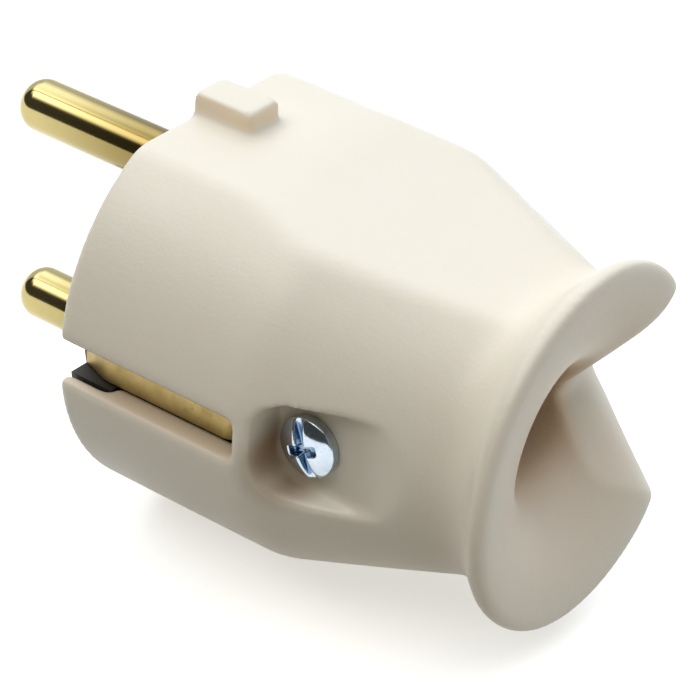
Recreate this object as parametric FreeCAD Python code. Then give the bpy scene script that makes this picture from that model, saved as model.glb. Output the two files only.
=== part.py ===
import FreeCAD, Part
import math
import os

from FreeCAD import Vector

# Rewirable round plug with side earth contacts and a flared pull-grip.
# The origin is the centre of the engagement face. +X runs back to the cable end and +Z is up, along the line
# through both pins. The earth contacts face -Y and +Y, and the housing screw is on the -Y side.

# Standard interface, in millimetres
PIN_DIAMETER = 4.8
PIN_LENGTH = 19.0
PIN_PITCH = 19.0
PIN_NOSE_RADIUS = 2.0
EARTH_SPAN = 32.4

# Housing: round front, cone, flats and guide ribs
BODY_DIAMETER = 37.0
RIM_X = 1.0
RIM_ROUND = 0.35
SHOULDER_X = 20.2
SHOULDER_ROUND = 9.0
FLAT_SPAN = 32.4
FLAT_END_X = 13.0
FLAT_ANGLE = 10.2
FLAT_BEND_RADIUS = 24.0
FLAT_EDGE_ROUND = 3.5
RIB_LENGTH = 6.2
RIB_WIDTH = 4.0
RIB_SPAN = 36.6
RIB_ROUND = 0.5

# Pull-grip: an oval lip with a funnel, and a notch where the cable can bend to the side
GRIP_X = 41.3
GRIP_WIDTH = 30.2
GRIP_HEIGHT = 32.2
LIP_OVERHANG = 3.4
LIP_THICKNESS = 1.4
LIP_ROUND = 0.65
LIP_LAND = 0.3
LIP_ROOT_RADIUS = 4.0
FLARE_ANGLE = 50.0
FLARE_RUN = 4.5
FUNNEL_DEPTH = 6.8
THROAT_DIAMETER = 10.0
NOTCH_DEPTH = 6.7
NOTCH_HALF_ANGLE = 49.0
NOTCH_ROUND = 2.0
NOTCH_ROLL_INSET = 8.2
NOTCH_ROLL_RADIUS = 9.3
NOTCH_ROLL_ANGLE = 75.0
FLARE_STEPS = 5

# Hollow of the housing
SIDE_WALL = 2.6
FLAT_WALL = 2.4
REBATE_WALL = 1.3
LEDGE_X = 5.5
HOLLOW_END_X = 30.5

# Earth slots and the recess of the housing screw
SLOT_WIDTH = 3.7
SLOT_END_X = 19.2
RECESS_DEPTH = 4.5
RECESS_FRONT_X = 20.7
RECESS_WIDTH = 8.8
RECESS_CORNER = 3.2
RECESS_WALL = 2.4
BOSS_DIAMETER = 7.5

# Contact carrier
CARRIER_REAR_X = 17.3
FACE_DIAMETER = 28.0
PLATE_FRONT_X = 1.2
POST_END_X = 28.5
POST_WIDTH = 4.0
POST_DEPTH = 4.0
POST_PITCH = 15.0

# Pin roots and terminals
ROOT_DIAMETER = 5.4
HEAD_DIAMETER = 6.0
HEAD_FRONT_X = 6.0
HEAD_LENGTH = 10.5
WIRE_HOLE_DIAMETER = 3.2
WIRE_HOLE_DEPTH = 7.0
TERMINAL_SCREW_X = 13.0
TERMINAL_SCREW_LENGTH = 2.7

# Earth strap
STRAP_THICKNESS = 1.0
STRAP_WIDTH = 3.4
STRAP_BEND = 1.6
STRAP_FRONT_X = 1.3
LEAD_IN_LENGTH = 2.9
LEAD_IN_DROP = 1.1
BRIDGE_WIDTH = 10.0
BRIDGE_MARGIN = 4.0
TONGUE_Y = 8.0
TONGUE_WIDTH = 6.6
TONGUE_END_X = 28.5
EARTH_SCREW_INSET = 7.4
WIRE_PLATE_SIZE = 7.0
WIRE_PLATE_THICKNESS = 1.0

# Screws, nut and cord grip
SCREW_DIAMETER = 3.0
SCREW_X = 24.2
SCREW_TURN = 70.0
SCREW_HEAD_DIAMETER = 5.4
SCREW_HEAD_HEIGHT = 1.7
HEAD_ROUND = 0.5
SCREW_SLOT = 0.8
SCREW_SLOT_DEPTH = 0.9
NUT_SIZE = 5.5
NUT_HEIGHT = 2.0
GRIP_BAR_X = 26.5
GRIP_BAR_WIDTH = 4.0
GRIP_BAR_THICKNESS = 2.0
GRIP_PAD_HEIGHT = 0.9
GRIP_SCREW_DIAMETER = 2.5
GRIP_SCREW_HEAD_DIAMETER = 4.0
GRIP_SCREW_HEAD_HEIGHT = 1.4
GRIP_SCREW_LENGTH = 5.0

# Clearances
SLIDE_GAP = 0.2
PIN_GAP = 0.05
THREAD_GAP = 0.05
SCREW_HOLE_GAP = 0.2
PAD_GAP = 1.0
HEAD_GAP = 0.35
OVERCUT = 2.0
TOUCH = 0.01
LOFT_DEGREE = 3

# Derived sizes
BODY_RADIUS = BODY_DIAMETER / 2
LIP_X = GRIP_X - LIP_THICKNESS
NECK_RADIUS = GRIP_WIDTH / 2 - LIP_OVERHANG
CONE_SLOPE = (BODY_RADIUS - NECK_RADIUS) / (LIP_X - SHOULDER_X)
BORE_RADIUS = BODY_RADIUS - SIDE_WALL
RECESS_FLOOR_Y = BODY_RADIUS - RECESS_DEPTH
REBATE_RADIUS = BODY_RADIUS - REBATE_WALL
EARTH_SCREW_Y = BORE_RADIUS - EARTH_SCREW_INSET
BRIDGE_END_Y = EARTH_SCREW_Y + BRIDGE_MARGIN
SCREW_HOLE_RADIUS = SCREW_DIAMETER / 2 + SCREW_HOLE_GAP
PIN_Z = PIN_PITCH / 2
POST_Z = POST_PITCH / 2
STRAP_Y = EARTH_SPAN / 2
STRAP_REAR_X = CARRIER_REAR_X + STRAP_THICKNESS
FUNNEL_X = GRIP_X - FUNNEL_DEPTH
NOTCH_X = GRIP_X - NOTCH_DEPTH
NOTCH_ROLL_Y = GRIP_WIDTH / 2 - NOTCH_ROLL_INSET
QUARTER_TURN = 90.0
X_AXIS = Vector(1, 0, 0)
Y_AXIS = Vector(0, 1, 0)
Z_AXIS = Vector(0, 0, 1)


def block(x, y, z):
    """A box between two values on each axis."""
    return Part.makeBox(x[1] - x[0], y[1] - y[0], z[1] - z[0], Vector(x[0], y[0], z[0]))


def rod(radius, start, end):
    """A cylinder from one point to another."""
    return Part.makeCylinder(radius, start.distanceToPoint(end), start, end - start)


def prism(points, direction):
    """A closed outline pushed along a direction."""
    return Part.Face(Part.makePolygon(points + points[:1])).extrude(direction)


def turned(outline):
    """A profile of (x, radius) points turned about the X axis."""
    face = Part.Face(Part.makePolygon([Vector(x, 0, r) for x, r in outline + outline[:1]]))
    return face.revolve(Vector(), X_AXIS, 360)


def edges_where(shape, test):
    """The edges whose middle point passes a test."""
    return [e for e in shape.Edges if test(e.valueAt((e.FirstParameter + e.LastParameter) / 2))]


def mirrored(shape, axis):
    """The shape's mirror image in the plane through the origin square to an axis."""
    return shape.mirror(Vector(), axis)


def cone_radius(x):
    """Radius of the housing's rear cone."""
    return BODY_RADIUS - (x - SHOULDER_X) * CONE_SLOPE


def grip_seat_y():
    """Where the cord-grip bar sits on its posts: as far out as the screw heads fit in the hollow."""
    wall_radius = cone_radius(GRIP_BAR_X) - SIDE_WALL - HEAD_GAP
    head_reach = POST_Z + GRIP_SCREW_HEAD_DIAMETER / 2
    head_top = math.sqrt(wall_radius**2 - head_reach**2)
    return head_top - GRIP_SCREW_HEAD_HEIGHT - GRIP_BAR_THICKNESS


def flat_height(x):
    """Height of the top flat: level at the front, then falling to the grip."""
    return FLAT_SPAN / 2 - max(0, x - FLAT_END_X) * math.tan(math.radians(FLAT_ANGLE))


def above_flat(wall):
    """What lies above the top flat, a wall's thickness inside it."""
    front = RIM_X - OVERCUT
    back = GRIP_X + OVERCUT
    points = [Vector(x, -BODY_DIAMETER, flat_height(x) - wall) for x in (front, FLAT_END_X, back)]
    points += [Vector(back, -BODY_DIAMETER, BODY_DIAMETER), Vector(front, -BODY_DIAMETER, BODY_DIAMETER)]
    solid = prism(points, Y_AXIS * (2 * BODY_DIAMETER))
    bend = edges_where(solid, lambda p: abs(p.x - FLAT_END_X) < TOUCH)
    return solid.makeFillet(FLAT_BEND_RADIUS, bend)


def without_flats(shape, wall):
    """The shape cut back to both flats."""
    top = above_flat(wall)
    return shape.cut([top, mirrored(top, Z_AXIS)])


def round_body():
    """The turned front and cone, which runs on into the lip."""
    end_x = LIP_X + LIP_THICKNESS / 2
    front = [(RIM_X, 0), (RIM_X, BODY_RADIUS), (SHOULDER_X, BODY_RADIUS)]
    solid = turned(front + [(end_x, cone_radius(end_x)), (end_x, 0)])
    shoulder = edges_where(solid, lambda p: abs(p.x - SHOULDER_X) < TOUCH)
    return solid.makeFillet(SHOULDER_ROUND, shoulder)


def flat_sided_body():
    """The turned body with both flats, the long edges of the flats and the front rim rounded off."""
    solid = without_flats(round_body(), 0)
    side = RIB_WIDTH / 2
    long_edges = edges_where(solid, lambda p: RIM_X < p.x - TOUCH < LIP_X and min(abs(p.y), abs(p.z)) > side)
    solid = solid.makeFillet(FLAT_EDGE_ROUND, long_edges)
    rim = edges_where(solid, lambda p: abs(p.x - RIM_X) < TOUCH)
    return solid.makeFillet(RIM_ROUND, rim)


def oval(x, half_width, half_height):
    """A closed oval section square to the plug's axis, in four quarters."""
    ends = [Vector(x, 0, half_height), Vector(x, half_width, 0)]
    if half_width > half_height:
        ends = [Vector(x, half_width, 0), Vector(x, 0, -half_height)]
    ellipse = Part.Ellipse(ends[0], ends[1], Vector(x, 0, 0))
    quarter = math.pi / 2
    return Part.Wire([ellipse.toShape(quarter * i, quarter * (i + 1)) for i in range(4)])


def lip():
    """The oval lip: a flared front face that starts inside the body, and a rim of even thickness."""
    half_width = GRIP_WIDTH / 2
    half_height = GRIP_HEIGHT / 2
    drop = FLARE_RUN * math.tan(math.radians(FLARE_ANGLE))
    front = oval(LIP_X - FLARE_RUN, half_width - drop, half_height - drop)
    rim = oval(LIP_X, half_width, half_height)
    flare = Part.makeLoft([front, rim], True, True)
    return flare.fuse(Part.Face(rim).extrude(X_AXIS * LIP_THICKNESS))


def outer_form():
    """The housing before it is hollowed: the body and the lip, with a curve into it and a round edge."""
    body = flat_sided_body()
    flange = lip()
    solid = body.fuse(flange)
    root = edges_where(solid, lambda p: body.isInside(p, TOUCH, True) and flange.isInside(p, TOUCH, True))
    solid = solid.makeFillet(LIP_ROOT_RADIUS, root)
    rear = edges_where(solid, lambda p: p.x > LIP_X - TOUCH)
    rims = [e for e in rear if e.BoundBox.XLength < TOUCH]
    return solid.makeFillet(LIP_ROUND, rims)


def funnel():
    """The flared mouth as a tool: oval sections from the throat out to the lip."""
    throat = THROAT_DIAMETER / 2
    half_width = GRIP_WIDTH / 2 - LIP_ROUND - LIP_LAND
    half_height = GRIP_HEIGHT / 2 - LIP_ROUND - LIP_LAND
    sections = []
    for step in range(FLARE_STEPS + 1):
        turn = math.radians(QUARTER_TURN * step / FLARE_STEPS)
        x = FUNNEL_X + FUNNEL_DEPTH * math.sin(turn)
        growth = 1 - math.cos(turn)
        wide = throat + (half_width - throat) * growth
        high = throat + (half_height - throat) * growth
        sections.append(oval(x, wide, high))
    return Part.makeLoft(sections, True, False, False, LOFT_DEGREE)


def notch_section(y, grown):
    """A rounded V, open to the rear, in the plane at y, with its edge moved outward."""
    lean = math.radians(NOTCH_HALF_ANGLE)
    radius = NOTCH_ROUND + grown
    centre_x = NOTCH_X + NOTCH_ROUND
    back = GRIP_X + OVERCUT
    touch_x = centre_x - radius * math.sin(lean)
    touch_z = radius * math.cos(lean)
    back_z = touch_z + (back - touch_x) * math.tan(lean)
    upper, lower = Vector(touch_x, y, touch_z), Vector(touch_x, y, -touch_z)
    nose = Part.Arc(lower, Vector(centre_x - radius, y, 0), upper).toShape()
    side = Part.makeLine(upper, Vector(back, y, back_z))
    closing = Part.makeLine(Vector(back, y, back_z), Vector(back, y, -back_z))
    other_side = Part.makeLine(Vector(back, y, -back_z), lower)
    return Part.Wire([nose, side, closing, other_side])


def side_notch():
    """The V through the grip's far side, as two tools: a straight run, then an edge that rolls outward."""
    straight = Part.Face(notch_section(0, 0)).extrude(Y_AXIS * NOTCH_ROLL_Y)
    sections = []
    for step in range(FLARE_STEPS + 1):
        turn = math.radians(NOTCH_ROLL_ANGLE * step / FLARE_STEPS)
        y = NOTCH_ROLL_Y + NOTCH_ROLL_RADIUS * math.sin(turn)
        sections.append(notch_section(y, NOTCH_ROLL_RADIUS * (1 - math.cos(turn))))
    return [straight, Part.makeLoft(sections, True, False, False, LOFT_DEGREE)]


def hollow():
    """The inside of the housing, as a tool: a stepped bore that narrows with the cone."""
    front = [(RIM_X, 0), (RIM_X, BORE_RADIUS), (SHOULDER_X, BORE_RADIUS)]
    bore = turned(front + [(HOLLOW_END_X, cone_radius(HOLLOW_END_X) - SIDE_WALL), (HOLLOW_END_X, 0)])
    rebate = rod(REBATE_RADIUS, Vector(RIM_X - OVERCUT, 0, 0), Vector(LEDGE_X, 0, 0))
    return without_flats(bore, FLAT_WALL).fuse(without_flats(rebate, REBATE_WALL))


def guide_rib():
    """The rib on the top flat that keys the plug in a round socket."""
    half = RIB_WIDTH / 2
    solid = block((RIM_X, RIM_X + RIB_LENGTH), (-half, half), (FLAT_SPAN / 2 - FLAT_WALL / 2, RIB_SPAN / 2))
    edges = edges_where(solid, lambda p: p.z > FLAT_SPAN / 2 - FLAT_WALL / 4 and p.x > RIM_X + TOUCH)
    return solid.makeFillet(RIB_ROUND, edges)


def recess():
    """The pocket round the housing screw, as a tool, with a flat floor that runs out of the cone."""
    half = RECESS_WIDTH / 2
    solid = block((RECESS_FRONT_X, LIP_X), (-BODY_RADIUS - OVERCUT, -RECESS_FLOOR_Y), (-half, half))
    nose = edges_where(solid, lambda p: abs(p.x - RECESS_FRONT_X) < TOUCH and abs(abs(p.z) - half) < TOUCH)
    return solid.makeFillet(RECESS_CORNER, nose)


def earth_slot():
    """The slot over the earth contact on the +Y side, as a tool."""
    half = SLOT_WIDTH / 2
    return block((RIM_X - OVERCUT, SLOT_END_X), (STRAP_Y - OVERCUT, BODY_RADIUS + OVERCUT), (-half, half))


def screw_pad(outer):
    """The thick wall behind the recess, and the boss that the strap's tongue is drawn against."""
    half = RECESS_WIDTH / 2 + RECESS_WALL
    inner_y = RECESS_FLOOR_Y - RECESS_WALL
    pad = block((SHOULDER_X - RECESS_WALL / 2, HOLLOW_END_X), (-BODY_RADIUS, -inner_y), (-half, half))
    boss = rod(BOSS_DIAMETER / 2, Vector(SCREW_X, -RECESS_FLOOR_Y, 0), Vector(SCREW_X, -TONGUE_Y, 0))
    return pad.common(outer).fuse(boss)


def make_housing():
    """The outer moulding: the shell and its ribs, with every opening cut through."""
    outer = outer_form()
    rib = guide_rib()
    outer = outer.fuse([rib, mirrored(rib, Z_AXIS)])
    shell = outer.cut(hollow()).fuse(screw_pad(outer))
    throat = rod(THROAT_DIAMETER / 2, Vector(HOLLOW_END_X - OVERCUT, 0, 0), Vector(FUNNEL_X, 0, 0))
    screw_hole = rod(SCREW_HOLE_RADIUS, Vector(SCREW_X, -BODY_RADIUS, 0), Vector(SCREW_X, 0, 0))
    slot = earth_slot()
    tools = [throat, funnel(), *side_notch(), recess(), screw_hole, slot, mirrored(slot, Y_AXIS)]
    return shell.cut(tools).removeSplitter()


def lead_in(inset):
    """Outline of the strap's +Y arm and its bent-in front end, grown inward by a gap."""
    outer = STRAP_Y
    inner = STRAP_Y - STRAP_THICKNESS - inset
    bend_x = STRAP_FRONT_X + LEAD_IN_LENGTH
    return [
        (STRAP_FRONT_X - inset, outer - LEAD_IN_DROP),
        (bend_x, outer),
        (STRAP_REAR_X, outer),
        (STRAP_REAR_X, inner),
        (bend_x, inner),
        (STRAP_FRONT_X - inset, inner - LEAD_IN_DROP),
    ]


def pin_pocket():
    """The carrier's open pocket for the live pin's head, with the pin's bore, as a tool."""
    pocket = HEAD_DIAMETER / 2 + PIN_GAP
    rear = CARRIER_REAR_X + OVERCUT
    bore = rod(ROOT_DIAMETER / 2 + PIN_GAP, Vector(-OVERCUT, 0, PIN_Z), Vector(HEAD_FRONT_X, 0, PIN_Z))
    seat = rod(pocket, Vector(HEAD_FRONT_X, 0, PIN_Z), Vector(rear, 0, PIN_Z))
    opening = block((HEAD_FRONT_X, rear), (-pocket, pocket), (PIN_Z, BODY_RADIUS))
    return bore.fuse([seat, opening])


def strap_groove():
    """The carrier's groove for the strap's +Y arm, as a tool."""
    half = SLOT_WIDTH / 2
    floor = lead_in(PIN_GAP)[3:]
    outline = [(-OVERCUT, floor[-1][1]), (-OVERCUT, BODY_RADIUS), (STRAP_REAR_X, BODY_RADIUS)] + floor
    return prism([Vector(x, y, -half) for x, y in outline], Z_AXIS * SLOT_WIDTH)


def grip_post():
    """The carrier's post for one cord-grip screw."""
    half = POST_WIDTH / 2
    seat_y = grip_seat_y()
    post = block((CARRIER_REAR_X, POST_END_X), (seat_y - POST_DEPTH, seat_y), (POST_Z - half, POST_Z + half))
    top = Vector(GRIP_BAR_X, seat_y, POST_Z)
    return post.cut(rod(GRIP_SCREW_DIAMETER / 2, top - Y_AXIS * POST_DEPTH, top))


def make_carrier():
    """The inner moulding: a stepped block that fills the front, with two posts for the cord grip."""
    face = rod(FACE_DIAMETER / 2, Vector(0, 0, 0), Vector(PLATE_FRONT_X, 0, 0))
    plate = rod(REBATE_RADIUS - SLIDE_GAP, Vector(PLATE_FRONT_X, 0, 0), Vector(LEDGE_X, 0, 0))
    plate = without_flats(plate, REBATE_WALL + SLIDE_GAP)
    body = rod(BORE_RADIUS - SLIDE_GAP, Vector(LEDGE_X, 0, 0), Vector(CARRIER_REAR_X, 0, 0))
    body = without_flats(body, FLAT_WALL + SLIDE_GAP)
    post = grip_post()
    carrier = face.fuse([plate, body, post, mirrored(post, Z_AXIS)])
    pocket = pin_pocket()
    groove = strap_groove()
    carrier = carrier.cut([pocket, mirrored(pocket, Z_AXIS), groove, mirrored(groove, Y_AXIS)])
    return carrier.removeSplitter()


def make_live_pin():
    """A turned pin: round nose, thicker root in the carrier, and a head with a wire hole and a cross hole."""
    rear = HEAD_FRONT_X + HEAD_LENGTH
    pin = rod(PIN_DIAMETER / 2, Vector(-PIN_LENGTH, 0, PIN_Z), Vector(0, 0, PIN_Z))
    nose = edges_where(pin, lambda p: abs(p.x + PIN_LENGTH) < TOUCH)
    pin = pin.makeFillet(PIN_NOSE_RADIUS, nose)
    root = rod(ROOT_DIAMETER / 2, Vector(0, 0, PIN_Z), Vector(HEAD_FRONT_X, 0, PIN_Z))
    head = rod(HEAD_DIAMETER / 2, Vector(HEAD_FRONT_X, 0, PIN_Z), Vector(rear, 0, PIN_Z))
    wire_hole = rod(WIRE_HOLE_DIAMETER / 2, Vector(rear - WIRE_HOLE_DEPTH, 0, PIN_Z), Vector(rear, 0, PIN_Z))
    middle = Vector(TERMINAL_SCREW_X, 0, PIN_Z)
    cross_hole = rod(SCREW_DIAMETER / 2, middle, middle + Z_AXIS * HEAD_DIAMETER)
    return pin.fuse([root, head]).cut([wire_hole, cross_hole]).removeSplitter()


def make_live_terminal_screw():
    """A headless slotted screw that clamps the wire in the pin's head."""
    outer_z = PIN_Z + HEAD_DIAMETER / 2
    end = Vector(TERMINAL_SCREW_X, 0, outer_z)
    screw = rod(SCREW_DIAMETER / 2 - THREAD_GAP, end - Z_AXIS * TERMINAL_SCREW_LENGTH, end)
    half = SCREW_SLOT / 2
    slot = block(
        (TERMINAL_SCREW_X - SCREW_DIAMETER, TERMINAL_SCREW_X + SCREW_DIAMETER),
        (-half, half),
        (outer_z - SCREW_SLOT_DEPTH, outer_z + OVERCUT),
    )
    return screw.cut(slot)


def make_earth_strap():
    """One bent strip: an arm in each slot, a bridge behind the carrier, and a tongue for the screw."""
    half = STRAP_WIDTH / 2
    bend_x = STRAP_FRONT_X + LEAD_IN_LENGTH
    arm = prism([Vector(x, y, -half) for x, y in lead_in(0)], Z_AXIS * STRAP_WIDTH)
    crook = edges_where(arm, lambda p: abs(p.x - bend_x) < TOUCH and abs(p.z) < TOUCH)
    arm = arm.makeFillet(LEAD_IN_LENGTH, crook)
    cross = block((CARRIER_REAR_X, STRAP_REAR_X), (-STRAP_Y, STRAP_Y), (-half, half))
    strap = arm.fuse([mirrored(arm, Y_AXIS), cross]).removeSplitter()
    rear = edges_where(strap, lambda p: abs(p.x - STRAP_REAR_X) < TOUCH)
    corners = [e for e in rear if abs(abs(e.CenterOfMass.y) - STRAP_Y) < TOUCH]
    strap = strap.makeFillet(STRAP_BEND, corners)

    tongue_inner = -TONGUE_Y + STRAP_THICKNESS
    window_end = tongue_inner + TONGUE_END_X - STRAP_REAR_X
    wide = BRIDGE_WIDTH / 2
    narrow = TONGUE_WIDTH / 2
    bridge = block((CARRIER_REAR_X, STRAP_REAR_X), (-TONGUE_Y, BRIDGE_END_Y), (-wide, wide))
    cut = narrow + SLIDE_GAP
    window = block((CARRIER_REAR_X, STRAP_REAR_X), (tongue_inner, window_end), (-cut, cut))
    tongue = block((CARRIER_REAR_X, TONGUE_END_X), (-TONGUE_Y, tongue_inner), (-narrow, narrow))
    strap = strap.fuse(bridge).cut(window).fuse(tongue)
    screw_hole = rod(SCREW_HOLE_RADIUS, Vector(SCREW_X, -BODY_RADIUS, 0), Vector(SCREW_X, 0, 0))
    earth_hole = rod(SCREW_DIAMETER / 2, Vector(0, EARTH_SCREW_Y, 0), Vector(GRIP_X, EARTH_SCREW_Y, 0))
    return strap.cut([screw_hole, earth_hole]).removeSplitter()


def headed_screw(seat, direction, diameter, length, head_diameter, head_height):
    """A screw with a slotted pan head on its seat and a shank along a direction."""
    top = seat - direction * head_height
    head = rod(head_diameter / 2, top, seat)
    outer = edges_where(head, lambda p: abs((p - top).dot(direction)) < TOUCH)
    head = head.makeFillet(HEAD_ROUND, outer)
    shank = rod(diameter / 2 - THREAD_GAP, seat, seat + direction * length)
    corner = Vector(-head_diameter / 2, -SCREW_SLOT / 2, 0)
    slot = Part.makeBox(head_diameter, SCREW_SLOT, SCREW_SLOT_DEPTH, corner)
    slot.Placement = FreeCAD.Placement(top, FreeCAD.Rotation(Z_AXIS, direction))
    return head.fuse(shank).cut(slot).removeSplitter()


def make_housing_screw():
    """The screw in the recess, with a slot and a shorter cross cut in its head, left turned."""
    seat = Vector(SCREW_X, -RECESS_FLOOR_Y, 0)
    length = RECESS_FLOOR_Y - TONGUE_Y + STRAP_THICKNESS + NUT_HEIGHT
    screw = headed_screw(seat, Y_AXIS, SCREW_DIAMETER, length, SCREW_HEAD_DIAMETER, SCREW_HEAD_HEIGHT)
    half = SCREW_SLOT / 2
    reach = SCREW_HEAD_DIAMETER / 4
    top = -RECESS_FLOOR_Y - SCREW_HEAD_HEIGHT
    cross = block((SCREW_X - half, SCREW_X + half), (top, top + SCREW_SLOT_DEPTH), (-reach, reach))
    screw = screw.cut(cross)
    screw.rotate(seat, Y_AXIS, SCREW_TURN)
    return screw


def make_housing_nut():
    """The square nut pressed on the strap's tongue."""
    half = NUT_SIZE / 2
    base = -TONGUE_Y + STRAP_THICKNESS
    nut = block((SCREW_X - half, SCREW_X + half), (base, base + NUT_HEIGHT), (-half, half))
    return nut.cut(rod(SCREW_DIAMETER / 2, Vector(SCREW_X, base, 0), Vector(SCREW_X, base + NUT_HEIGHT, 0)))


def make_earth_wire_plate():
    """The square plate under the earth terminal's screw."""
    half = WIRE_PLATE_SIZE / 2
    rear = STRAP_REAR_X + WIRE_PLATE_THICKNESS
    plate = block((STRAP_REAR_X, rear), (EARTH_SCREW_Y - half, EARTH_SCREW_Y + half), (-half, half))
    hole = rod(SCREW_HOLE_RADIUS, Vector(0, EARTH_SCREW_Y, 0), Vector(GRIP_X, EARTH_SCREW_Y, 0))
    return plate.cut(hole)


def make_earth_terminal_screw():
    """The screw that clamps the earth wire under its plate."""
    seat = Vector(STRAP_REAR_X + WIRE_PLATE_THICKNESS, EARTH_SCREW_Y, 0)
    length = WIRE_PLATE_THICKNESS + STRAP_THICKNESS
    return headed_screw(seat, -X_AXIS, SCREW_DIAMETER, length, SCREW_HEAD_DIAMETER, SCREW_HEAD_HEIGHT)


def make_cord_grip_bar():
    """The bar across the cord, with a pad between the posts that presses it."""
    across = (GRIP_BAR_X - GRIP_BAR_WIDTH / 2, GRIP_BAR_X + GRIP_BAR_WIDTH / 2)
    seat_y = grip_seat_y()
    reach = POST_Z + GRIP_SCREW_HEAD_DIAMETER / 2
    pad = POST_Z - POST_WIDTH / 2 - PAD_GAP
    bar = block(across, (seat_y, seat_y + GRIP_BAR_THICKNESS), (-reach, reach))
    bar = bar.fuse(block(across, (seat_y - GRIP_PAD_HEIGHT, seat_y), (-pad, pad)))
    for z in (-POST_Z, POST_Z):
        radius = GRIP_SCREW_DIAMETER / 2 + SCREW_HOLE_GAP
        bar = bar.cut(rod(radius, Vector(GRIP_BAR_X, 0, z), Vector(GRIP_BAR_X, BODY_RADIUS, z)))
    return bar.removeSplitter()


def make_cord_grip_screws():
    """The two like screws of the cord grip, as separate solids."""
    seat_y = grip_seat_y() + GRIP_BAR_THICKNESS
    screws = []
    for z in (-POST_Z, POST_Z):
        screws.append(
            headed_screw(
                Vector(GRIP_BAR_X, seat_y, z),
                -Y_AXIS,
                GRIP_SCREW_DIAMETER,
                GRIP_SCREW_LENGTH,
                GRIP_SCREW_HEAD_DIAMETER,
                GRIP_SCREW_HEAD_HEIGHT,
            )
        )
    return Part.makeCompound(screws)


def main():
    live_pin = make_live_pin()
    live_screw = make_live_terminal_screw()
    parts = {
        "housing": make_housing(),
        "contact_carrier": make_carrier(),
        "live_pin": live_pin,
        "neutral_pin": mirrored(live_pin, Z_AXIS),
        "live_terminal_screw": live_screw,
        "neutral_terminal_screw": mirrored(live_screw, Z_AXIS),
        "earth_strap": make_earth_strap(),
        "earth_wire_plate": make_earth_wire_plate(),
        "earth_terminal_screw": make_earth_terminal_screw(),
        "housing_screw": make_housing_screw(),
        "housing_nut": make_housing_nut(),
        "cord_grip_bar": make_cord_grip_bar(),
        "cord_grip_screws": make_cord_grip_screws(),
    }
    os.makedirs("parts", exist_ok=True)
    for name, shape in parts.items():
        shape.exportStep(os.path.join("parts", name + ".step"))
        print(f"{name}: {len(shape.Solids)} solid, valid {shape.isValid()}, volume {shape.Volume:.1f} mm3")


main()
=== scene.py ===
# %% [markdown]
# A round mains plug, dressed for a studio picture.
# The solids come from the construction step as a fixed frame, in metres. This lesson gives each piece its finish,
# draws softer skins for the housing and its screw, and sets up a light table, a sky of softboxes and the camera.

# %% Load the frame
import math

import bpy
import numpy as np
import openvdb
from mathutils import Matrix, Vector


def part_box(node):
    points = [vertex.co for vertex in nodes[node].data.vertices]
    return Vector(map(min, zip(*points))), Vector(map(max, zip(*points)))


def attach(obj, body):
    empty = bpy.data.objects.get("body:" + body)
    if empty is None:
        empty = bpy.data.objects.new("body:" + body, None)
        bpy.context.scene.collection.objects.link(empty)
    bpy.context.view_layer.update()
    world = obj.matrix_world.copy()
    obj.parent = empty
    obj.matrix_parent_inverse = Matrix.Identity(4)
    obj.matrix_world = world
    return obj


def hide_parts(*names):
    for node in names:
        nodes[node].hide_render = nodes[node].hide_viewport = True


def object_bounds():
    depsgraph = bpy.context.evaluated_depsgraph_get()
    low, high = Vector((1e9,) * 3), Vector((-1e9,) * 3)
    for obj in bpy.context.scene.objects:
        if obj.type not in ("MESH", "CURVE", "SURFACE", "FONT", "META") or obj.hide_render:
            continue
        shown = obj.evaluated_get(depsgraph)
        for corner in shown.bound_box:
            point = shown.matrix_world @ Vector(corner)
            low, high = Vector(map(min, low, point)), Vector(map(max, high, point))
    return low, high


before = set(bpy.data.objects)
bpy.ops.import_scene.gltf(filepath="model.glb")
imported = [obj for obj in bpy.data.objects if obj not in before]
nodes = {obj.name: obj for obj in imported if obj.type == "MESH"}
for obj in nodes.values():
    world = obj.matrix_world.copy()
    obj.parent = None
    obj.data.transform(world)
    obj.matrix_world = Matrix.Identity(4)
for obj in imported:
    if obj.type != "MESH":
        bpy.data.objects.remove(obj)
solid_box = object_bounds()
mm = 0.001
print("pieces:", sorted(nodes))
print("box of the solids in mm:", [[round(v / mm, 2) for v in corner] for corner in solid_box])

# %% [markdown]
# The camera. A picture of a small product is taken from well back with a long lens, so that the near end doesn't
# swell. The place, the three angles and the lens were fitted to the pins, the lip and the rim in the photograph.
# Plain numbers on the camera object keep the view easy to change.

# %% Camera
camera_place = (155.11 * mm, -189.05 * mm, 147.71 * mm)
camera_turn = (57.546, -2.840, 37.948)
lens_data = bpy.data.cameras.new("camera")
lens_data.lens = 171.65
lens_data.clip_start = 10 * mm
camera = bpy.data.objects.new("camera", lens_data)
bpy.context.scene.collection.objects.link(camera)
camera.location = camera_place
camera.rotation_euler = [math.radians(angle) for angle in camera_turn]
bpy.context.scene.camera = camera
print("camera at", [round(v / mm, 1) for v in camera.location], "mm, lens", lens_data.lens, "mm")

# %% [markdown]
# Shader maths. A finish is a small network of nodes. Writing it node by node hides the sums, so one class wraps an
# output socket and gives it the signs of arithmetic: each sum of values adds its own Math node. A second class holds
# the network and has the one method that makes any node from its type, its settings and its sockets. Its other
# methods give plain names to the nodes that the finishes share.

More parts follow.
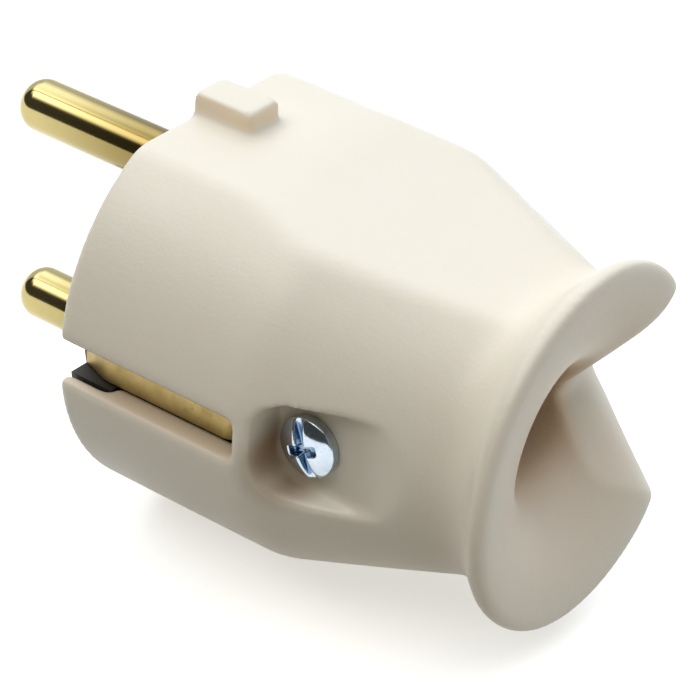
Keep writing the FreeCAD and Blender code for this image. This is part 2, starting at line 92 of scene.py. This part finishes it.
# %% Values that can be added and multiplied
class Wire:
    """An output socket that takes part in sums."""

    def __init__(self, net, socket):
        self.net = net
        self.socket = socket

    def sum(self, operation, first, second):
        return self.net.node("ShaderNodeMath", {"operation": operation}, {0: first, 1: second})

    def __add__(self, other):
        return self.sum("ADD", self, other)

    def __radd__(self, other):
        return self.sum("ADD", other, self)

    def __sub__(self, other):
        return self.sum("SUBTRACT", self, other)

    def __rsub__(self, other):
        return self.sum("SUBTRACT", other, self)

    def __mul__(self, other):
        return self.sum("MULTIPLY", self, other)

    def __rmul__(self, other):
        return self.sum("MULTIPLY", other, self)

    def __pow__(self, other):
        return self.sum("POWER", self, other)


# %% A network and its nodes
class Net:
    """The nodes of a material or a world, and the one method that adds to them."""

    def __init__(self, owner):
        owner.use_nodes = True
        self.owner = owner
        self.tree = owner.node_tree
        self.tree.nodes.clear()

    def node(self, kind, settings=None, sockets=None, output=0):
        made = self.tree.nodes.new(kind)
        for name, value in (settings or {}).items():
            setattr(made, name, value)
        for name, value in (sockets or {}).items():
            if isinstance(value, Wire):
                self.tree.links.new(value.socket, made.inputs[name])
            else:
                made.inputs[name].default_value = value
        return Wire(self, made.outputs[output]) if made.outputs else None

    def place(self):
        """Where a point is on the object, in metres."""
        return self.node("ShaderNodeTexCoord", output=3)

    def hollow(self):
        """How deep in a hollow a point of a skin is; below nought on an edge, nought on a plain solid."""
        return self.node("ShaderNodeAttribute", {"attribute_name": "hollow"}, output=2)

    def axes(self, vector):
        """The three parts of a vector."""
        return [self.node("ShaderNodeSeparateXYZ", {}, {0: vector}, output=axis) for axis in range(3)]

    def noise(self, vector, size, detail):
        """Cloudy noise whose blotches are about this size, in metres, from 0 to 1."""
        return self.node("ShaderNodeTexNoise", {}, {"Vector": vector, "Scale": 1 / size, "Detail": detail})

    def stretched(self, vector, times):
        """The same place drawn out along X, for lines and scuffs."""
        return self.node("ShaderNodeVectorMath", {"operation": "MULTIPLY"}, {0: vector, 1: (1 / times, 1.0, 1.0)})

    def step(self, value, low, high):
        """0 below low and 1 above high, with a soft run between."""
        sockets = {"Value": value, "From Min": low, "From Max": high, "To Min": 0.0, "To Max": 1.0}
        return self.node("ShaderNodeMapRange", {"interpolation_type": "SMOOTHSTEP"}, sockets)

    def beyond(self, value, low, high):
        """The same step for the size of a value, whatever its sign."""
        return self.step(value * value, low**2, high**2)

    def mix(self, factor, first, second):
        """Two colours mixed by a value."""
        return self.node("ShaderNodeMix", {"data_type": "RGBA"}, {0: factor, 6: first, 7: second}, output=2)

    def bump(self, height, strength, distance):
        """A surface whose normal follows a height."""
        return self.node("ShaderNodeBump", {}, {"Height": height, "Strength": strength, "Distance": distance})

    def surface(self, **sockets):
        """The closing shader of a material."""
        names = {name.replace("_", " "): value for name, value in sockets.items()}
        shader = self.node("ShaderNodeBsdfPrincipled", {}, names)
        self.node("ShaderNodeOutputMaterial", {}, {"Surface": shader})
        print("finish", self.owner.name, "with", len(self.tree.nodes), "nodes")
        return self.owner


# %% A new finish and its colours
def finish(name):
    """An empty material's network."""
    return Net(bpy.data.materials.new(name))


def tint(red, green, blue):
    """A colour as seen on a screen, 0 to 255, as the linear values that shaders use."""
    parts = [v / 255 for v in (red, green, blue)]
    return tuple(v / 12.92 if v <= 0.04045 else ((v + 0.055) / 1.055) ** 2.4 for v in parts) + (1.0,)


# %% [markdown]
# Soft skins. A moulding has no knife edges: every corner of its tool is eased, and a screw's edges are tumbled round.
# Bevelling a mesh that came from a solid is fiddly, because its triangles are long and uneven. Instead the solid is
# turned into a grid of distances to its surface, the grid is blurred, and a new skin is drawn where the distance is
# nought. Flat faces stay where they are and each edge, inside or out, gets a radius. The grid counts in millimetres.

# %% A solid as a grid of distances
class Grid:
    """A node's distances to its surface, outside positive, cell by cell."""

    margin = 8
    band = 6.0

    def __init__(self, node, cell):
        solid = nodes[node].data
        solid.calc_loop_triangles()
        points = np.empty(len(solid.vertices) * 3, np.float32)
        solid.vertices.foreach_get("co", points)
        corners = np.empty(len(solid.loop_triangles) * 3, np.int32)
        solid.loop_triangles.foreach_get("vertices", corners)
        self.cell = cell
        self.spacing = openvdb.createLinearTransform(voxelSize=cell)
        levels = openvdb.FloatGrid.createLevelSetFromPolygons(
            points.reshape(-1, 3) / np.float32(mm),
            triangles=corners.reshape(-1, 3).astype(np.uint32),
            transform=self.spacing,
            halfWidth=self.band,
        )
        low, high = (np.array(corner) for corner in levels.evalActiveVoxelBoundingBox())
        self.first = tuple(int(v) for v in low - self.margin)
        shape = tuple(int(v) for v in high - low + 1 + 2 * self.margin)
        self.distance = np.empty(shape, np.float32)
        levels.copyToArray(self.distance, ijk=self.first)
        print(node, "as", self.distance.shape, "cells of", cell, "mm")

    def away_from(self, centre):
        """Each cell's distance from a point."""
        total = np.zeros(self.distance.shape, np.float32)
        for axis in range(3):
            line = (self.first[axis] + np.arange(total.shape[axis])) * self.cell - centre[axis]
            total += (line**2).reshape([-1 if i == axis else 1 for i in range(3)]).astype(np.float32)
        return np.sqrt(total)

    def read(self, field, points):
        """The field at some points, read between the cells."""
        place = points / self.cell - np.array(self.first)
        base = np.floor(place).astype(int)
        part = place - base
        total = np.zeros(len(points))
        for corner in np.ndindex(2, 2, 2):
            weight = np.prod(np.where(corner, part, 1 - part), axis=1)
            total += weight * field[tuple((base + corner).T)]
        return total


# %% [markdown]
# Drawing a skin. The blur runs along one axis after the other, which gives a round blur for little work. The
# difference between a wide blur and a fine one tells hollows from edges, so it is written on the skin, point by point,
# for the finishes to read.

# %% A skin drawn from a grid
wide_blur = 4.5
fine_blur = 0.8


def blurred(field, radius):
    """The field after a Gaussian blur of this many cells."""
    reach = int(math.ceil(3 * radius))
    offsets = range(-reach, reach + 1)
    weights = np.exp(-0.5 * (np.array(offsets) / radius) ** 2).astype(np.float32)
    for axis in range(3):
        field = sum(w * np.roll(field, o, axis) for o, w in zip(offsets, weights / weights.sum()))
    return field


def draw_skin(grid, name, field, material):
    """A smooth mesh object where the field is nought, with its hollows marked."""
    drawn = openvdb.FloatGrid(grid.band * grid.cell)
    drawn.transform = grid.spacing
    drawn.copyFromArray(field, ijk=grid.first)
    points, quads = drawn.convertToQuads(isovalue=0.0)
    mesh = bpy.data.meshes.new(name)
    mesh.from_pydata((points * mm).tolist(), [], quads[:, ::-1].tolist())
    mesh.shade_smooth()
    mesh.materials.append(material)
    made = bpy.data.objects.new(name, mesh)
    bpy.context.scene.collection.objects.link(made)
    difference = blurred(grid.distance, wide_blur) - blurred(grid.distance, fine_blur)
    hollow = -grid.read(difference, points) / grid.cell
    mesh.attributes.new("hollow", "FLOAT", "POINT").data.foreach_set("value", hollow.astype(np.float32))
    print(name, "has", len(quads), "faces, hollow from", round(hollow.min(), 2), "to", round(hollow.max(), 2))
    return made


# %% [markdown]
# Painted light and shade. The housing is ivory all over, but light and shade are painted into its colour in some
# places: warm painted shade in the throat and warm painted bounce light over the funnel, painted shade in hollows, a
# painted shadow on the deep side of the screw's recess and painted shade on its floor, warm light from the brass
# painted on the slot's walls, and painted light coming through the thin walls of the guide ribs. Each place is a mask
# from 0 to
# 1, worked out mostly from where a point is. A pair of values says where the soft edge of a mask starts and ends.

# %% Where light and shade are painted on the moulding
screw_low, screw_high = (np.array(corner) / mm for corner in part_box("housing_screw"))
head_middle = (screw_low + screw_high) / 2
head_middle[1] = screw_low[1]
# Middle and reach of the painted shadow between the screw head and the recess wall below it.
painted_shadow_middle = tuple((head_middle + (-2.2, 0.6, -2.0)) * mm)
painted_shadow_reach = (1.4 * mm, 4.8 * mm)
throat_start, throat_reach = (29 * mm, 34 * mm), (3.6 * mm, 7.4 * mm)
funnel_start, funnel_reach = (33 * mm, 38 * mm), (8 * mm, 17 * mm)
# Painted shade in hollows: how deep a hollow must be to take it, and where it ends towards the back.
hollow_shade_depth, hollow_shade_end = (0.1, 1.0), (24 * mm, 29 * mm)
recess_start, recess_end = (20.6 * mm, 22 * mm), (28 * mm, 31.5 * mm)
recess_half, recess_side = (3.4 * mm, 4.4 * mm), (0.0, 2 * mm)
slot_half, slot_end = (1.9 * mm, 2.3 * mm), (18.6 * mm, 19.6 * mm)
rib_foot, rib_end = (16.2 * mm, 17.2 * mm), (8.6 * mm, 9.4 * mm)
lying = (0.1, 0.6)
print("screw head's middle in mm:", head_middle.round(2).tolist())


# %% Masks for the painted light and shade
def painted_light_masks(net, place):
    """The masks of painted light and shade, each with its strength and its colour."""
    x, y, z = net.axes(place)
    reach = (y * y + z * z) ** 0.5
    # Painted warm shade deep in the throat, and painted warm bounce light over the funnel.
    throat = net.step(x, *throat_start) * (1 - net.step(reach, *throat_reach))
    funnel = net.step(x, *funnel_start) * (1 - net.step(reach, *funnel_reach))
    # Painted shade, darker and warmer, deep in the hollows of the front part.
    hollow_shade = net.step(net.hollow(), *hollow_shade_depth) * (1 - net.step(x, *hollow_shade_end))
    # Painted shadow, dark brown, on the deep side of the screw head.
    from_painted_shadow = net.node("ShaderNodeVectorMath", {"operation": "DISTANCE"}, {0: place, 1: painted_shadow_middle}, output=1)
    # Painted shade over the floor of the screw's recess.
    recess = net.step(x, *recess_start) * (1 - net.step(x, *recess_end))
    recess = recess * (1 - net.beyond(z, *recess_half)) * net.step(0 - y, *recess_side)
    # Painted warm light, bounced from the brass strip onto the slot's walls.
    slot = (1 - net.beyond(z, *slot_half)) * (1 - net.step(x, *slot_end))
    # Painted warm light on the guide ribs' side walls, standing for bounce light and light coming through them.
    facing_up = net.axes(net.node("ShaderNodeNewGeometry", output=1))[2]
    rib_wall = (1 - net.step(facing_up * facing_up, *lying)) * net.beyond(z, *rib_foot) * (1 - net.step(x, *rib_end))
    return [
        (throat, 0.85, tint(226, 188, 142)),
        (funnel, 0.5, tint(242, 224, 202)),
        (hollow_shade, 0.7, tint(176, 140, 98)),
        (1 - net.step(from_painted_shadow, *painted_shadow_reach), 0.85, tint(142, 104, 62)),
        (recess, 0.6, tint(208, 200, 182)),
        (slot, 0.4, tint(206, 174, 132)),
        (rib_wall, 0.5, tint(246, 218, 176)),
    ]


# %% [markdown]
# The housing's finish: an ivory thermoset moulding. The tool's face is lightly spark-eroded, so the skin is satin with
# a grain of about a quarter of a millimetre and a slower ripple under it. The colour is almost even, with faint clouds
# where the melt met. Edges are rubbed a little smoother by hands, and a few scuffs run along the body. A little light
# goes into the material before it comes out again, which softens the shadows.

# %% Ivory moulding
def ivory_moulding():
    net = finish("ivory_moulding")
    place = net.place()
    clouds = net.noise(place, size=7 * mm, detail=3)
    colour = net.mix(clouds, tint(238, 232, 219), tint(235, 228, 213))
    # The painted light and shade of the masks are mixed into the colour here.
    for mask, strength, shade in painted_light_masks(net, place):
        colour = net.mix(mask * strength, colour, shade)
    rubbed = net.step(0 - net.hollow(), low=0.2, high=1.2)
    grain = net.noise(place, size=0.28 * mm, detail=2)
    ripple = net.noise(place, size=1.6 * mm, detail=2)
    scuffs = net.step(net.noise(net.stretched(place, times=9), size=0.5 * mm, detail=3), low=0.62, high=0.75)
    return net.surface(
        Base_Color=colour,
        Roughness=0.38 + grain * 0.10 + clouds * 0.05 + scuffs * 0.06 - rubbed * 0.06,
        Normal=net.bump(grain + ripple * 0.6 - scuffs * 0.2, strength=0.34, distance=0.05 * mm),
        IOR=1.5,
        Subsurface_Weight=0.12,
        Subsurface_Radius=(1.0, 0.62, 0.36),
        Subsurface_Scale=0.9 * mm,
    )


ivory = ivory_moulding()

# %% [markdown]
# The housing's form. One light blur eases every edge to about half a millimetre. Some places on the real moulding
# differ: the lower rim of the screw's recess and the wing tips beside the notch are softer, and the guide ribs and the
# upper rim of the recess are crisper. At a soft spot the grid fades into a stronger blur, and at a crisp one it fades
# back to the solid's own distances. Each spot has a middle, a reach and a weight.

# %% Spots of the housing that are softer or crisper
wing_tip = np.array((40.4, 12.0, 9.6))
rib_middle = np.array((4.0, 0.0, solid_box[1][2] / mm))
lower_rim = head_middle + (-0.5, -2.6, -4.4)
upper_rim = head_middle + (0.0, -2.0, 4.4)
mirror = (1, 1, -1)
soft_spots = [(lower_rim, 2.4, 0.4), (wing_tip, 2.6, 0.45), (wing_tip * mirror, 2.6, 0.45)]
crisp_spots = [(rib_middle, 3.4, 0.8), (rib_middle * mirror, 3.4, 0.8), (upper_rim, 2.4, 0.8)]


def share(grid, spots):
    """How far each cell belongs to some spots, from 0 to 1."""
    total = sum(weight * np.exp(-((grid.away_from(spot) / reach) ** 2)) for spot, reach, weight in spots)
    return np.clip(total, 0, 1)


# %% Housing
housing_cell = 0.35
soft_blur = 2.7
housing_grid = Grid("housing", housing_cell)
sharp = housing_grid.distance
eased = blurred(sharp, fine_blur)
softer = (blurred(sharp, soft_blur) - eased) * share(housing_grid, soft_spots)
crisper = (sharp - eased) * share(housing_grid, crisp_spots)
housing_skin = draw_skin(housing_grid, "housing_skin", eased + softer + crisper, ivory)
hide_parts("housing")
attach(housing_skin, "root")
print("softened", len(soft_spots), "spots further and kept", len(crisp_spots), "crisp")

# %% [markdown]
# Brass. The pins are turned and polished, so they mirror the studio and show only the finest rings from the tool.
# Towards the root they are painted a darker olive: painted shade for the housing's shadow in what they mirror. The
# earth strip is rolled sheet that has lain in a drawer: duller, with lines along it and brown stains.

# %% Pin brass
ring_width = 0.12 * mm
# Where the painted shade turns the pins a darker olive towards the root.
pin_shade_run = (-19 * mm, -3 * mm)


def polished_brass():
    net = finish("polished_brass")
    place = net.place()
    x = net.axes(place)[0]
    rings = net.node("ShaderNodeTexNoise", {"noise_dimensions": "1D"}, {"W": x, "Scale": 1 / ring_width})
    haze = net.noise(place, size=2.5 * mm, detail=3)
    bright = net.mix(haze, tint(188, 175, 124), tint(177, 161, 108))
    return net.surface(
        # Painted shade: darker olive towards the root.
        Base_Color=net.mix(net.step(x, *pin_shade_run), bright, tint(134, 117, 70)),
        Metallic=1.0,
        Roughness=0.08 + haze * 0.07 + rings * 0.03,
        Normal=net.bump(rings, strength=0.02, distance=0.02 * mm),
    )


def dress(material, *names):
    """Gives solids that stay as they are a finish."""
    for name in names:
        nodes[name].data.materials.clear()
        nodes[name].data.materials.append(material)
    print(material.name, "on", ", ".join(names))


dress(polished_brass(), "live_pin", "neutral_pin")


# %% Strip brass
def strip_brass():
    net = finish("strip_brass")
    place = net.place()
    lines = net.noise(net.stretched(place, times=16), size=0.18 * mm, detail=3)
    stain = net.noise(place, size=1.8 * mm, detail=4)
    spots = net.step(net.noise(place, size=1.1 * mm, detail=5), low=0.56, high=0.78)
    colour = net.mix(stain, tint(190, 170, 116), tint(138, 115, 68))
    return net.surface(
        Base_Color=net.mix(spots * 0.7, colour, tint(108, 84, 48)),
        Metallic=1.0,
        Roughness=0.30 + lines * 0.12 + stain * 0.12 + spots * 0.1,
        Normal=net.bump(lines, strength=0.15, distance=0.02 * mm),
    )


dress(strip_brass(), "earth_strap")

# %% [markdown]
# The carrier and the cord-grip bar are near-black mouldings. The screws, the nut and the wire plate are steel with
# bright zinc, which has a blue cast and goes cloudy where it is handled; the colour is darker and bluer down in a slot.

# %% Black moulding
def black_moulding():
    net = finish("black_moulding")
    place = net.place()
    grain = net.noise(place, size=0.2 * mm, detail=2)
    clouds = net.noise(place, size=4 * mm, detail=2)
    return net.surface(
        Base_Color=net.mix(clouds, tint(34, 32, 30), tint(46, 43, 40)),
        Roughness=0.42 + grain * 0.15,
        Normal=net.bump(grain, strength=0.2, distance=0.04 * mm),
    )


dress(black_moulding(), "contact_carrier", "cord_grip_bar")


# %% Bright zinc
def bright_zinc():
    net = finish("bright_zinc")
    place = net.place()
    cloud = net.noise(place, size=0.9 * mm, detail=3)
    nicks = net.step(net.noise(place, size=0.25 * mm, detail=3), low=0.60, high=0.70)
    colour = net.mix(cloud, tint(204, 211, 216), tint(166, 182, 198))
    # Darker and bluer down in hollows.
    colour = net.mix(net.step(net.hollow(), low=0.1, high=1.0) * 0.9, colour, tint(84, 116, 148))
    return net.surface(
        Base_Color=net.mix(nicks * 0.35, colour, tint(120, 138, 160)),
        Metallic=1.0,
        Roughness=0.06 + cloud * 0.08 + nicks * 0.12,
        Normal=net.bump(cloud - nicks * 0.5, strength=0.12, distance=0.03 * mm),
    )


zinc = bright_zinc()
dress(zinc, "housing_nut", "live_terminal_screw", "neutral_terminal_screw", "earth_wire_plate")
dress(zinc, "earth_terminal_screw", "cord_grip_screws")

# %% [markdown]
# The housing screw is the one fastener in view, so it gets a skin of its own. Its head is slightly domed, as pressed
# heads are: a ball that touches the middle of the head trims the grid towards the rim. A polished dome mirrors the
# table below in one half and the dim room in the other.

# %% Housing screw
screw_cell = 0.07
screw_blur = 1.2
dome_radius = 4.8
screw_grid = Grid("housing_screw", screw_cell)
ball_middle = head_middle + (0, dome_radius, 0)
domed = np.maximum(screw_grid.distance, screw_grid.away_from(ball_middle) - dome_radius)
screw_skin = draw_skin(screw_grid, "housing_screw_skin", blurred(domed, screw_blur), zinc)
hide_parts("housing_screw")
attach(screw_skin, "root")

# %% [markdown]
# The light table: a white sheet just under the plug, with a faint glow of its own so that the shadow stays pale. It
# doesn't throw its full white back on the object, because that would wash out the underside. What comes up from below
# is painted on the sky's lower half instead, where it can be set by hand.

# %% Light table
table_size = 4.0
table_gap = 0.05 * mm
table_glow = 0.5
bpy.ops.mesh.primitive_plane_add(size=table_size, location=(0, 0, solid_box[0][2] - table_gap))
table = bpy.context.object
table.name = "light_table"
table.visible_diffuse = False
table.visible_shadow = False
paper = finish("table_sheet")
fibre = paper.noise(paper.place(), size=0.8 * mm, detail=3)
sheet = paper.mix(fibre, tint(254, 254, 253), tint(251, 251, 250))
white_sheet = paper.surface(Base_Color=sheet, Roughness=0.9, Emission_Color=sheet, Emission_Strength=table_glow)
table.data.materials.append(white_sheet)
print("table at", round(table.location.z / mm, 2), "mm")

# %% [markdown]
# The sky. Softboxes could be built from lamps. Painted on the world's sky they have no near edge and are easy to
# reshape. One is overhead, a key is high on the near left, a backdrop behind is brightest near its top, and a weak fill
# faces the cable end. The room is dim at eye level, and that band gives polished metal its dark stripe. A thin dark
# seam between the key and the backdrop draws the fine line on the pins. Each part is a mask on the sky's directions,
# which run from -1 to 1, and a pair of values says where its soft edge starts and ends.

# %% Parts of the sky
left_run, behind_run, below_run = (-0.4, 0.4), (-0.05, 0.08), (-0.05, 0.01)
overhead_run, key_run, fill_run = (0.79, 0.83), (0.54, 0.72), (0.45, 0.8)
seam_lean, seam_start, seam_end = 0.21, (-0.05, -0.02), (0.02, 0.05)
backdrop_right = 0.2
world = bpy.data.worlds.new("room")
bpy.context.scene.world = world
sky = Net(world)
right, away, up = sky.axes(sky.node("ShaderNodeTexCoord", output=0))
left = 1 - sky.step(right, *left_run)
behind = sky.step(away, *behind_run)
below = 1 - sky.step(up, *below_run)
overhead = sky.step(up, *overhead_run)
walls = (1 - overhead) * (1 - below)
key = sky.step(up, *key_run) * (1 - overhead) * (1 - behind) * left
backdrop = behind * walls * (backdrop_right + left * (1 - backdrop_right))
fill = sky.step(right, *fill_run) * walls
across_seam = away + up * seam_lean
seam = sky.step(across_seam, *seam_start) * (1 - sky.step(across_seam, *seam_end)) * walls
print("sky in parts with", len(sky.tree.nodes), "nodes")

# %% [markdown]
# The light of the sky is the sum of its parts, each times a strength. The backdrop grows stronger towards its top, and
# the table gives less light on the left. The near side is a little warm, the far side a little cool, and what comes up
# from the table is warmest.

# %% Light of the sky
room_light, overhead_light, key_light, fill_light = 0.07, 1.38, 3.7, 0.26
backdrop_low, backdrop_rise, backdrop_run = 0.9, 1.6, (0.5, 0.7)
table_light, table_loss = 0.21, 0.14
seam_depth = 0.85
near_colour, far_colour, table_colour = (1.02, 1.0, 0.95, 1.0), (0.95, 1.0, 1.06, 1.0), (1.08, 1.0, 0.80, 1.0)
glow = room_light + overhead * overhead_light + key * key_light + fill * fill_light
glow = glow + backdrop * (backdrop_low + sky.step(up, *backdrop_run) * backdrop_rise)
glow = (glow + below * (table_light - left * table_loss)) * (1 - seam * seam_depth)
colour = sky.mix(below, sky.mix(behind, near_colour, far_colour), table_colour)
backlight = sky.node("ShaderNodeBackground", {}, {"Color": colour, "Strength": glow})
sky.node("ShaderNodeOutputWorld", {}, {"Surface": backlight})
bpy.context.scene.view_settings.view_transform = "Standard"
print("sky with", len(sky.tree.nodes), "nodes")
